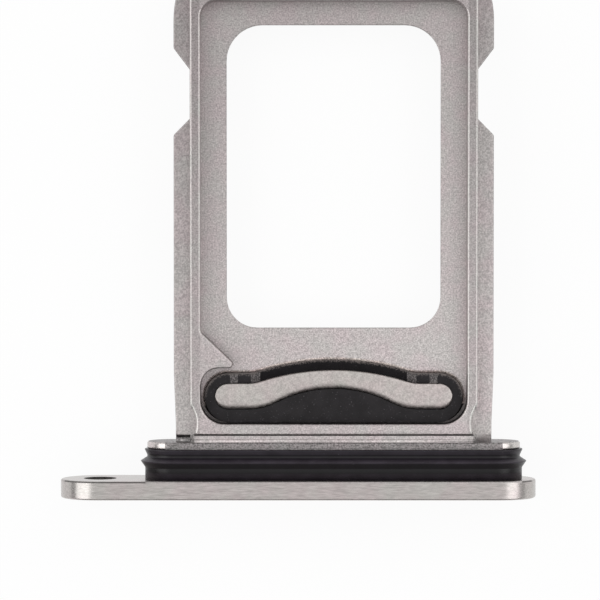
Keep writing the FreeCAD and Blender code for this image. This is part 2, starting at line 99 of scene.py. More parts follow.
class Tree:
    """Adds and joins the nodes of one node tree."""

    def __init__(self, nodes: NodeTree) -> None:
        """Keeps the tree and empties it."""
        self.nodes = nodes
        nodes.nodes.clear()

    def add(
        self, kind: str, inputs: dict[str | int, object] | None = None, **settings: object
    ) -> Node:
        """Makes one node and fills its inputs.

        Args:
            kind: Blender's name for the node type.
            inputs: For each named or numbered input, its value or the output that feeds it.
            settings: Values for the node's own properties.

        Returns:
            The new node.
        """
        node = self.nodes.nodes.new(kind)
        for name, value in settings.items():
            setattr(node, name, value)
        for name, value in (inputs or {}).items():
            if isinstance(value, Socket):
                self.nodes.links.new(value, node.inputs[name])
            else:
                node.inputs[name].default_value = value
        return node

    def place(self) -> Socket:
        """Gives the object coordinates."""
        return self.add("ShaderNodeTexCoord").outputs["Object"]

    def parts_of_place(self) -> NodeOutputs:
        """Gives the object coordinates as X, Y and Z."""
        return self.add("ShaderNodeSeparateXYZ", {"Vector": self.place()}).outputs

    def noise(self, place: Socket, cell: float, detail: float = GRAIN_DETAIL) -> Socket:
        """Makes a noise pattern.

        Args:
            place: Coordinates that the pattern follows.
            cell: Size of its cells, in millimetres.
            detail: Octaves of finer grain.

        Returns:
            The output with the pattern.
        """
        values = {"Vector": place, "Scale": 1.0 / (cell * MM), "Detail": detail}
        return self.add("ShaderNodeTexNoise", values).outputs["Fac"]

    def ramp(self, value: Socket, given: Span, wanted: Span) -> Socket:
        """Carries one range of values over to another.

        Args:
            value: The values to carry over.
            given: Their low and high ends.
            wanted: What the two ends become.

        Returns:
            The output with the new values.
        """
        names = ("From Min", "From Max", "To Min", "To Max")
        values = dict(zip(names, (*given, *wanted)))
        return self.add("ShaderNodeMapRange", {"Value": value, **values}).outputs["Result"]

    def tint(self, share: Socket, first: Colour, second: Colour) -> Socket:
        """Blends two colours by a pattern.

        Args:
            share: Pattern that says how much of the second colour shows.
            first: Colour where the pattern is dark.
            second: Colour where the pattern is light.

        Returns:
            The output with the blended colour.
        """
        return self.stops(share, list(zip(PATTERN_RANGE, (first, second))))

    def stops(self, value: Socket, stops: list[tuple[float, Colour]]) -> Socket:
        """Gives each value from 0 to 1 its colour.

        Args:
            value: The values.
            stops: Places in their range, in order, and the colour at each.

        Returns:
            The output with the colours.
        """
        node = self.add("ShaderNodeValToRGB", {"Fac": value})
        made = node.color_ramp.elements
        made[0].position, made[1].position = stops[0][0], stops[-1][0]
        for place, _ in stops[1:-1]:
            made.new(place)
        for stop, (_, colour) in zip(made, stops):
            stop.color = (*colour, 1.0)
        return node.outputs["Color"]

    def math(self, operation: str, *values: Socket | float) -> Socket:
        """Does one sum.

        Args:
            operation: Blender's name for it.
            values: The value or the two values that it takes.

        Returns:
            The output with the result.
        """
        node = self.add("ShaderNodeMath", dict(enumerate(values)), operation=operation)
        return node.outputs["Value"]

    def blend(
        self, share: Socket | float, first: object, second: object,
        kind: str = "FLOAT", way: str = "MIX",
    ) -> Socket:
        """Passes from one value or colour to another.

        Args:
            share: How much of the second there is.
            first: Value, colour or output where the share is 0.
            second: Value, colour or output where the share is 1.
            kind: Blender's name for the type of both, FLOAT or RGBA.
            way: Blender's name for how two colours are joined.

        Returns:
            The output with what lies between them.
        """
        values = {"Factor": share, "A": first, "B": second}
        node = self.add("ShaderNodeMix", values, data_type=kind, blend_type=way)
        return node.outputs["Result"]

    def multiply(self, first: Socket, second: Socket) -> Socket:
        """Multiplies two colours."""
        return self.blend(1.0, first, second, "RGBA", "MULTIPLY")

    def relief(self, height: Socket, depth: float) -> Socket:
        """Gives the normal of a fine relief of a depth in millimetres."""
        values = {"Height": height, "Distance": depth * MM, "Strength": 1.0}
        return self.add("ShaderNodeBump", values).outputs["Normal"]

    def end(self, surface: Socket, kind: str = "Material") -> None:
        """Ends the tree of a material or of the world in its surface."""
        self.add("ShaderNodeOutput" + kind, {"Surface": surface})


def new_material(name: str) -> tuple[Material, Tree]:
    """Makes a material.

    Args:
        name: Name of the material.

    Returns:
        The material, and its node tree, which is empty.
    """
    material = bpy.data.materials.new(name)
    material.use_nodes = True
    return material, Tree(material.node_tree)


@dataclass(frozen=True)
class PaintedLightMap:
    """Painted light and shade over the tray: lighter to the right, lighter on the web's level,
    darker towards the tip, painted shade at the wings' feet, and a darker tone on the rails.
    """

    middle: float = 1.18
    inner_half: float = 4.42
    high_level: float = 0.6
    inner_low: float = 1.06
    outer_high: float = 0.86
    start: float = 5.0
    end: float = 16.5
    inner_tip: float = 0.77
    outer_tip: float = 0.69
    sides: Span = (-4.2, 6.6)
    side_tones: Span = (0.96, 1.07)
    root_half: float = 4.6
    root: Span = (1.92, 2.10)
    root_tone: float = 0.40
    blur: float = 0.04

    def shade(self, tree: Tree) -> Socket:
        """Works out the painted light and shade at a spot.

        Args:
            tree: Node tree of the material.

        Returns:
            The output with the share of light that is kept, as a grey.
        """
        place = tree.parts_of_place()
        away = tree.math("ABSOLUTE", tree.math("SUBTRACT", place["X"], self.middle * MM))
        level = tree.math("ABSOLUTE", place["Z"])
        step = (self.high_level * MM, (self.high_level + self.blur) * MM)
        reach = (self.start * MM, self.end * MM)
        # Web level painted lighter, rails a darker tone, and both painted darker towards the tip.
        painted_light = [
            tree.math(
                "MULTIPLY",
                tree.ramp(level, step, by_level),
                tree.ramp(place["Y"], reach, (1.0, tip)),
            )
            for by_level, tip in (
                ((self.inner_low, 1.0), self.inner_tip), ((1.0, self.outer_high), self.outer_tip)
            )
        ]
        tone = tree.blend(self.beyond(tree, away, self.inner_half), *painted_light)
        # Painted light: lighter towards the right side.
        ends = (self.sides[0] * MM, self.sides[1] * MM)
        tone = tree.math("MULTIPLY", tone, tree.ramp(place["X"], ends, self.side_tones))
        # Painted shade at the wings' feet, next to the shoulder.
        foot = tree.ramp(place["Y"], (self.root[0] * MM, self.root[1] * MM), (self.root_tone, 1.0))
        rough = tree.blend(self.beyond(tree, away, self.root_half), 1.0, foot)
        return tree.math("MULTIPLY", tone, rough)

    def beyond(self, tree: Tree, away: Socket, half: float) -> Socket:
        """Gives 1 beyond a distance from the carrier's middle, and 0 within it."""
        return tree.ramp(away, (half * MM, (half + self.blur) * MM), (0.0, 1.0))


@dataclass(frozen=True)
class SeamShading:
    """Painted shade on the web next to the upper half of the moulded insert, a painted shadow in
    the recess's low corners, and painted light on the insert's own rim, all ragged at the seam.
    """

    middle: float = 1.18
    lobe_half: float = 3.52
    lobe_y: float = 3.385
    lobe_radius: float = 0.775
    crown_y: float = -3.745
    crown_radius: float = 8.345
    ragged: float = 0.04
    low_y: float = 2.9
    full_y: float = 3.5
    # Painted shadow in the low corners of the recess.
    corner_shade: float = 0.35
    web_level: float = 0.17
    clear_level: float = 0.255
    metal_reach: float = 0.10
    # Painted shade on the web next to the insert.
    shade_tint: Colour = (0.58, 0.53, 0.51)
    rubber_reach: float = 0.08
    # Painted light on the insert's rim.
    rim_light: Colour = (0.13, 0.112, 0.107)

    def on_metal(self, tree: Tree, base: Socket, grain: Socket) -> Socket:
        """Paints shade on the metal of the web next to the insert, and a painted shadow in the low
        corners.

        Args:
            tree: Node tree of the material.
            base: Colour of the clean metal.
            grain: Pattern that makes the seam ragged.

        Returns:
            The output with the shaded colour.
        """
        place = tree.parts_of_place()
        levels = (self.web_level * MM, self.clear_level * MM)
        sunk = tree.ramp(tree.math("ABSOLUTE", place["Z"]), levels, (1.0, 0.0))
        reach = (self.low_y * MM, self.full_y * MM)
        # Painted shadow of the recess wall on the web, in the low corners.
        corner = tree.blend(sunk, 1.0, tree.ramp(place["Y"], reach, (self.corner_shade, 1.0)))
        # Painted shade on the web along the insert's upper edge.
        near = tree.math("MULTIPLY", self.share(tree, grain, self.metal_reach), sunk)
        shaded = tree.blend(near, base, (*self.shade_tint, 1.0), "RGBA", "MULTIPLY")
        return tree.multiply(shaded, corner)

    def on_rubber(self, tree: Tree, base: Socket, grain: Socket) -> Socket:
        """Paints light on the insert's own rim.

        Args:
            tree: Node tree of the material.
            base: Colour of the clean rubber.
            grain: Pattern that makes the seam ragged.

        Returns:
            The output with the lightened colour.
        """
        # Painted light along the rubber's upper rim.
        near = self.share(tree, grain, -self.rubber_reach)
        return tree.blend(near, base, (*self.rim_light, 1.0), "RGBA")

    def share(self, tree: Tree, grain: Socket, reach: float) -> Socket:
        """Works out how strong the seam is at a spot.

        Args:
            tree: Node tree of the material.
            grain: Pattern that makes the seam ragged.
            reach: Distance outside the insert's outline, in millimetres, where the seam ends.

        Returns:
            The output with the strength from 0 to 1.
        """
        place = tree.parts_of_place()
        away = tree.math("ABSOLUTE", tree.math("SUBTRACT", place["X"], self.middle * MM))
        past = tree.math("MAXIMUM", tree.math("SUBTRACT", away, self.lobe_half * MM), 0.0)
        lobe = self.distance(tree, past, place["Y"], self.lobe_y, self.lobe_radius)
        crown = self.distance(tree, away, place["Y"], self.crown_y, self.crown_radius)
        play = tree.ramp(grain, PATTERN_RANGE, (-self.ragged * MM, self.ragged * MM))
        gap = tree.math("ADD", tree.math("MINIMUM", lobe, crown), play)
        near = tree.ramp(gap, (0.0, reach * MM), (1.0, 0.0))
        high = tree.ramp(place["Y"], (self.low_y * MM, self.full_y * MM), (0.0, 1.0))
        return tree.math("MULTIPLY", near, high)

    def distance(
        self, tree: Tree, across: Socket, along: Socket, centre_y: float, radius: float
    ) -> Socket:
        """Works out how far a spot lies outside a circle.

        Args:
            tree: Node tree of the material.
            across: The spot's distance from the circle's middle along X.
            along: Its Y.
            centre_y: Y of the circle's middle, in millimetres.
            radius: Radius of the circle, in millimetres.

        Returns:
            The output with the distance, in metres.
        """
        up = tree.math("SUBTRACT", along, centre_y * MM)
        squares = tree.math(
            "ADD", tree.math("MULTIPLY", across, across), tree.math("MULTIPLY", up, up)
        )
        return tree.math("SUBTRACT", tree.math("SQRT", squares), radius * MM)


@dataclass(frozen=True)
class MetalFinish:
    """Bare light metal, blasted, brushed or left as machined."""

    name: str
    tone: Colour
    contrast: float
    roughness: float
    grain_size: float
    grain_depth: float
    texture: Texture = Texture.BLASTED
    roughness_play: float = 0.06
    fleck_share: float = 2.3
    fleck_detail: float = 1.0
    fleck_tones: Span = (0.92, 1.06)
    cloud_size: float = 0.9
    casts: tuple[Colour, Colour] = ((1.0, 0.962, 0.965), (0.965, 0.99, 0.965))
    # Painted light and shade over the part, if any.
    painted_light: PaintedLightMap | None = None
    # Painted shade on the web next to the insert, if any.
    seam_shading: SeamShading | None = None

    def shade(self, share: float) -> Colour:
        """Gives the tone, lightened or darkened by a share."""
        return tuple(part * (1.0 + share) for part in self.tone)

    def material(self) -> Material:
        """Makes the material.

        Returns:
            A material with grain, cloudy tint, fine relief, and the finish's painted light and
            shade if it has any.
        """
        material, tree = new_material(self.name)
        stretch = {"Vector": tree.place(), "Scale": self.texture.value}
        place = tree.add("ShaderNodeMapping", stretch).outputs["Vector"]
        grain = tree.noise(place, self.grain_size)
        flecks = tree.noise(place, self.grain_size * self.fleck_share, self.fleck_detail)
        base = tree.tint(grain, self.shade(-self.contrast), self.shade(self.contrast))
        cast = tree.tint(tree.noise(tree.place(), self.cloud_size), *self.casts)
        speck = tree.tint(flecks, *((tone,) * 3 for tone in self.fleck_tones))
        colour = tree.multiply(tree.multiply(base, cast), speck)
        # Painted light and shade by place over the tray.
        if self.painted_light:
            colour = tree.multiply(colour, self.painted_light.shade(tree))
        # Painted shade on the web next to the insert.
        if self.seam_shading:
            colour = self.seam_shading.on_metal(tree, colour, flecks)
        play = (self.roughness - self.roughness_play, self.roughness + self.roughness_play)
        shader = tree.add("ShaderNodeBsdfPrincipled", {
            "Metallic": 1.0,
            "Base Color": colour,
            "Roughness": tree.ramp(flecks, PATTERN_RANGE, play),
            "Normal": tree.relief(grain, self.grain_depth),
        })
        tree.end(shader.outputs["BSDF"])
        return material


@dataclass(frozen=True)
class RubberFinish:
    """Black moulded rubber with a faint grain, a few specks of dust, and bands of painted highlight
    and shade.
    """

    name: str
    dark: Colour
    light: Colour
    dust: Colour
    dust_start: float
    roughness: float
    gloss: float
    grain_size: float
    grain_depth: float
    dust_fade: float = 0.08
    roughness_play: float = 0.06
    bloom_size: float = 0.45
    bloom_detail: float = 3.0
    seam_shading: SeamShading | None = None
    bands: tuple[Span, ...] = ()

    def material(self) -> Material:
        """Makes the material.

        Returns:
            A dark material with fine moulding grain and faint dust, with painted light at the seam
            and painted bands if it has them.
        """
        material, tree = new_material(self.name)
        grain = tree.noise(tree.place(), self.grain_size)
        bloom = tree.noise(tree.place(), self.bloom_size, self.bloom_detail)
        peaks = tree.ramp(grain, (self.dust_start, self.dust_start + self.dust_fade), (0.0, 1.0))
        bare = tree.tint(bloom, self.dark, self.light)
        colour = tree.blend(peaks, bare, (*self.dust, 1.0), "RGBA")
        # Painted light on the insert's rim next to the web.
        if self.seam_shading:
            colour = self.seam_shading.on_rubber(tree, colour, grain)
        # Bands of painted highlight and shade.
        if self.bands:
            colour = tree.multiply(colour, self.banded(tree))
        play = (self.roughness - self.roughness_play, self.roughness + self.roughness_play)
        shader = tree.add("ShaderNodeBsdfPrincipled", {
            "Specular IOR Level": self.gloss,
            "Base Color": colour,
            "Roughness": tree.ramp(grain, PATTERN_RANGE, play),
            "Normal": tree.relief(grain, self.grain_depth),
        })
        tree.end(shader.outputs["BSDF"])
        return material

    def banded(self, tree: Tree) -> Socket:
        """Works out the tone of the painted bands of highlight and shade, each told by its Y in
        millimetres and its tone.

        Args:
            tree: Node tree of the material.

        Returns:
            The output with the share of the colour that is kept, as a grey.
        """
        start, end = self.bands[0][0], self.bands[-1][0]
        along = tree.ramp(tree.parts_of_place()["Y"], (start * MM, end * MM), (0.0, 1.0))
        bands = [((place - start) / (end - start), (tone,) * 3) for place, tone in self.bands]
        return tree.stops(along, bands)


@dataclass(frozen=True)
class FloorFinish:
    """White table top that keeps a faint shadow."""

    name: str = "white_table"
    own_light: float = 0.92
    paint: float = 0.8
    fainter: float = 0.99
    mottle_size: float = 100 / 9

    def material(self) -> Material:
        """Makes the material.

        Returns:
            A pale matte material that the camera and the metal see as white.
        """
        material, tree = new_material(self.name)
        mottle = tree.noise(tree.place(), self.mottle_size)
        colour = tree.tint(mottle, (self.fainter * self.paint,) * 3, (self.paint,) * 3)
        paint = tree.add("ShaderNodeBsdfDiffuse", {"Color": colour})
        glow = tree.add("ShaderNodeEmission", {"Strength": 1.0})
        surface = tree.add("ShaderNodeMixShader", {
            "Fac": self.seen_share(tree), 1: paint.outputs["BSDF"], 2: glow.outputs["Emission"],
        })
        tree.end(surface.outputs["Shader"])
        return material

    def seen_share(self, tree: Tree) -> Socket:
        """Works out how much plain white the camera and shiny surfaces see.

        Args:
            tree: Node tree of the material.

        Returns:
            The output with the share.
        """
        path = tree.add("ShaderNodeLightPath").outputs
        either = tree.math("MAXIMUM", path["Is Camera Ray"], path["Is Glossy Ray"])
        any_of = tree.math("MAXIMUM", either, path["Is Transmission Ray"])
        return tree.math("MULTIPLY", any_of, self.own_light)


BODY_FINISHES = {
    Zone.OUTER_FACE: MetalFinish(
        "brushed_face", (0.54, 0.515, 0.49), 0.16, 0.34, 0.035, 0.0012, Texture.BRUSHED,
    ),
    Zone.PLATE_EDGE: MetalFinish(
        "satin_edge", (0.50, 0.466, 0.457), 0.10, 0.26, 0.03, 0.0001, Texture.MACHINED,
        roughness_play=0.015,
    ),
    # Painted shade: the plate's back rim is a dark line, darker towards the ends and lighter to the
    # right.
    Zone.PLATE_RIM: MetalFinish(
        "plate_rim_painted_shade", (0.46, 0.43, 0.425), 0.1, 0.34, 0.05, 0.001,
        painted_light=PaintedLightMap(inner_half=6.2, outer_high=0.36, root_tone=1.0),
    ),
    # Painted shade: the pinhole's bore is near-black metal.
    Zone.PINHOLE: MetalFinish("pinhole_painted_shade", (0.10, 0.094, 0.092), 0.2, 0.42, 0.05, 0.002),
    # Rough dark shoulder metal, also used as painted shade on the left wing's foot.
    Zone.SHOULDER_FLAT: MetalFinish(
        "rough_shoulder_and_painted_shade", (0.26, 0.243, 0.245), 0.45, 0.42, 0.055, 0.006, roughness_play=0.1,
    ),
    # Painted highlight: the shoulder's rim beside the seal is near-white metal.
    Zone.SHOULDER_RIM: MetalFinish("rim_painted_highlight", (0.90, 0.86, 0.86), 0.1, 0.55, 0.05, 0.002),
    Zone.SHOULDER_END: MetalFinish("satin_shoulder", (0.60, 0.562, 0.552), 0.1, 0.26, 0.05, 0.001),
    # Blasted metal with painted light and shade over the carrier and painted shade next to the
    # insert.
    Zone.CARRIER: MetalFinish(
        "blasted_carrier_and_painted_light", (0.515, 0.475, 0.476), 0.21, 0.44, 0.05, 0.006,
        painted_light=PaintedLightMap(), seam_shading=SeamShading(),
    ),
    # Painted shade: the carrier's upright walls are a darker copy of its metal.
    Zone.CARRIER_WALL: MetalFinish("wall_painted_shade", (0.38, 0.351, 0.351), 0.2, 0.40, 0.05, 0.004),
    # Painted shade: the walls round the insert's recess are darker still.
    Zone.RECESS_WALL: MetalFinish("recess_wall_painted_shade", (0.17, 0.157, 0.157), 0.2, 0.40, 0.05, 0.004),
    Zone.BURNISHED: MetalFinish("burnished_edge", (0.52, 0.494, 0.487), 0.12, 0.36, 0.05, 0.002),
    # Painted highlight: the rounds over the scallops are a lighter copy of the metal.
    Zone.SCALLOP_HIGHLIGHT: MetalFinish("scallop_painted_highlight", (0.60, 0.577, 0.567), 0.12, 0.45, 0.05, 0.002),
    # The break round the insert's hole is paler and rougher than the carrier.
    Zone.HOLE_BREAK: MetalFinish("pale_rough_break", (0.70, 0.64, 0.62), 0.3, 0.80, 0.05, 0.003),
    # Painted shade: the slits at the carrier's foot and the lower break round the insert are near
    # black.
    Zone.GROOVE: MetalFinish("groove_painted_shade", (0.06, 0.055, 0.055), 0.2, 0.55, 0.05, 0.002),
}
# Painted light: the spring bar is lighter towards the right side.
ARCH_FINISH = MetalFinish(
    "blasted_spring_and_painted_light", (0.515, 0.479, 0.466), 0.12, 0.44, 0.05, 0.004,
    painted_light=PaintedLightMap(inner_low=1.0),
)
SEAL_FINISH = RubberFinish(
    "seal_rubber", (0.0085, 0.0064, 0.0092), (0.0130, 0.0102, 0.0142), (0.05, 0.048, 0.052), 0.70,
    0.34, 0.32, 0.05, 0.0008,
    # Bands of painted highlight and shade across the seal: lighter next to the plate and at the far
    # end, a painted highlight on the lip's tip, painted shade on its slopes and in the valley.
    bands=(
        (0.63, 1.4), (0.82, 1.4), (0.88, 0.3), (1.00, 0.3), (1.05, 0.4), (1.17, 0.4), (1.21, 2.2),
        (1.28, 2.2), (1.34, 1.0), (1.42, 0.5), (1.47, 0.5), (1.50, 1.5), (1.64, 1.5),
    ),
)
# Every part of the insert gets painted light along its upper rim next to the web.
INSERT_FINISHES = {
    Moulding.TOP: RubberFinish(
        "moulded_elastomer", (0.009, 0.0075, 0.0085), (0.014, 0.012, 0.0135), (0.08, 0.075, 0.08),
        0.66, 0.55, 0.22, 0.045, 0.003, seam_shading=SeamShading(),
    ),
    # Painted glints: the slanted faces are lighter rubber, thick with light specks.
    Moulding.SLANT: RubberFinish(
        "slant_painted_glints", (0.035, 0.031, 0.031), (0.06, 0.053, 0.053), (0.17, 0.155, 0.155),
        0.50, 0.5, 0.30, 0.05, 0.005, seam_shading=SeamShading(),
    ),
    # Painted shade: the slot's deep floor is darker rubber.
    Moulding.SLOT: RubberFinish(
        "slot_painted_shade", (0.004, 0.003, 0.004), (0.007, 0.006, 0.007), (0.03, 0.028, 0.03),
        0.66, 0.65, 0.15, 0.045, 0.003, seam_shading=SeamShading(),
    ),
}


def new_object(name: str, data: bpy.types.ID) -> Object:
    """Puts a mesh, a lamp or a camera in the scene.

    Args:
        name: Name of the object.
        data: What it shows. A mesh is already in place.

    Returns:
        The new object.
    """
    piece = bpy.data.objects.new(name, data)
    bpy.context.scene.collection.objects.link(piece)
    return piece


def as_plain_mesh(piece: Object) -> None:
    """Makes what a piece's modifiers give its own mesh, and takes them off.

    Args:
        piece: The piece to make plain.
    """
    bpy.context.view_layer.update()
    shown = piece.evaluated_get(bpy.context.evaluated_depsgraph_get())
    mesh = bpy.data.meshes.new_from_object(shown)
    piece.modifiers.clear()
    piece.data = mesh


def outward(mesh: Mesh, merge: float) -> None:
    """Joins points that meet and turns every face outwards.

    Args:
        mesh: Closed mesh to mend.
        merge: Distance in metres under which two points are one.
    """
    work = bmesh.new()
    work.from_mesh(mesh)
    bmesh.ops.remove_doubles(work, verts=work.verts, dist=merge)
    bmesh.ops.recalc_face_normals(work, faces=work.faces)
    work.to_mesh(mesh)
    work.free()


def dress(
    piece: Object, finishes: dict[Enum, object], zone: Callable[[Vector, Vector], Enum]
) -> None:
    """Gives each face of a piece the finish of its zone.

    Args:
        piece: The piece.
        finishes: The finish of each zone, in the order of the zones' numbers.
        zone: Tells a face's zone from its middle, in millimetres, and its outward direction.
    """
    for finish in finishes.values():
        piece.data.materials.append(finish.material())
    for face in piece.data.polygons:
        face.material_index = zone(face.center / MM, face.normal).value


def register(piece: Object, node: str) -> None:
    """Ties a piece to the body and hides the solid that it stands for.

    Args:
        piece: The finished piece.
        node: Solid that it replaces.
    """
    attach(piece, BODY)
    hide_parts(node)
    LOG.info("%s: %d faces, stands for %s", piece.name, len(piece.data.polygons), node)


@dataclass
class SoftenedSolid:
    """Copy of a solid with clean flat faces and softened outer edges."""

    node: str
    name: str
    edge_round: float
    segments: int = 2
    sharp_angle: float = 30.0
    flat_angle: float = 0.5
    merge: float = 0.0002
    clamped: bool = True

    def mesh(self) -> Mesh:
        """Copies the solid's mesh, joins its points and clears its flat faces.

        Returns:
            The cleaned mesh.
        """
        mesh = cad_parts[self.node].data.copy()
        mesh.name = self.name
        mesh.materials.clear()
        work = bmesh.new()
        work.from_mesh(mesh)
        bmesh.ops.remove_doubles(work, verts=work.verts, dist=self.merge * MM)
        flat = math.radians(self.flat_angle)
        bmesh.ops.dissolve_limit(work, angle_limit=flat, verts=work.verts, edges=work.edges)
        self.cut_long_faces(work)
        self.sort_edges(work)
        work.to_mesh(mesh)
        work.free()
        return mesh

    def cut_long_faces(self, work: bmesh.types.BMesh) -> None:
        """Cuts the faces whose shading would lean along their length, here none."""

    def sort_edges(self, work: bmesh.types.BMesh) -> None:
        """Picks the outer edges to soften and keeps the inner ones crisp.

        Args:
            work: The solid's mesh.
        """
        weight = work.edges.layers.float.new("bevel_weight_edge")
        sharp = math.radians(self.sharp_angle)
        for face in work.faces:
            face.smooth = True
        for edge in work.edges:
            turn = edge.calc_face_angle_signed(0.0)
            edge[weight] = self.share_of_round(edge) if turn > sharp else 0.0
            edge.smooth = turn > -sharp

    def share_of_round(self, edge: bmesh.types.BMEdge) -> float:
        """Gives how much of the full round an outer edge gets, here all."""
        return 1.0

    def piece(self) -> Object:
        """Makes the softened copy.

        Returns:
            The new object, with no modifiers left on it.
        """
        piece = new_object(self.name, self.mesh())
        soften = piece.modifiers.new("soften", "BEVEL")
        soften.width = self.edge_round * MM
        soften.segments = self.segments
        soften.limit_method = "WEIGHT"
        soften.use_clamp_overlap = self.clamped
        settle = piece.modifiers.new("settle", "WEIGHTED_NORMAL")
        settle.keep_sharp = True
        as_plain_mesh(piece)
        return piece


@dataclass
class SoftenedBody(SoftenedSolid):
    """Copy of the machined body, whose scallops have a rounded edge."""

    clamped: bool = False
    middle: float = 1.18
    scallop_inside: float = 4.55
    scallop_outside: float = 4.78
    scallop_range: Span = (2.12, 3.03)
    cut_level: float = 3.25
    top: float = 0.795

    def cut_long_faces(self, work: bmesh.types.BMesh) -> None:
        """Cuts the rails' long faces past the scallops, so that the turn there ends at the cut.

        Args:
            work: The solid's mesh.
        """
        rails = [face for face in work.faces if self.on_rail(face.calc_center_median().x / MM)]
        edges = dict.fromkeys(edge for face in rails for edge in face.edges)
        points = dict.fromkeys(corner for face in rails for corner in face.verts)
        bmesh.ops.bisect_plane(
            work, geom=[*points, *edges, *rails],
            plane_co=(0.0, self.cut_level * MM, 0.0), plane_no=(0.0, 1.0, 0.0),
        )

    def on_rail(self, x: float) -> bool:
        """Tells whether a place along X lies on the outer part of a rail."""
        return self.scallop_inside < abs(x - self.middle) < self.scallop_outside

    def share_of_round(self, edge: bmesh.types.BMEdge) -> float:
        """Gives how much of the full round an outer edge gets.

        Args:
            edge: An edge of the solid.

        Returns:
            1 over the scallops, and 0 elsewhere, where the solid has its own breaks.
        """
        for corner in edge.verts:
            spot = corner.co / MM
            beside = self.scallop_range[0] < spot.y < self.scallop_range[1]
            if not (self.on_rail(spot.x) and beside and abs(spot.z) > self.top):
                return 0.0
        return 1.0


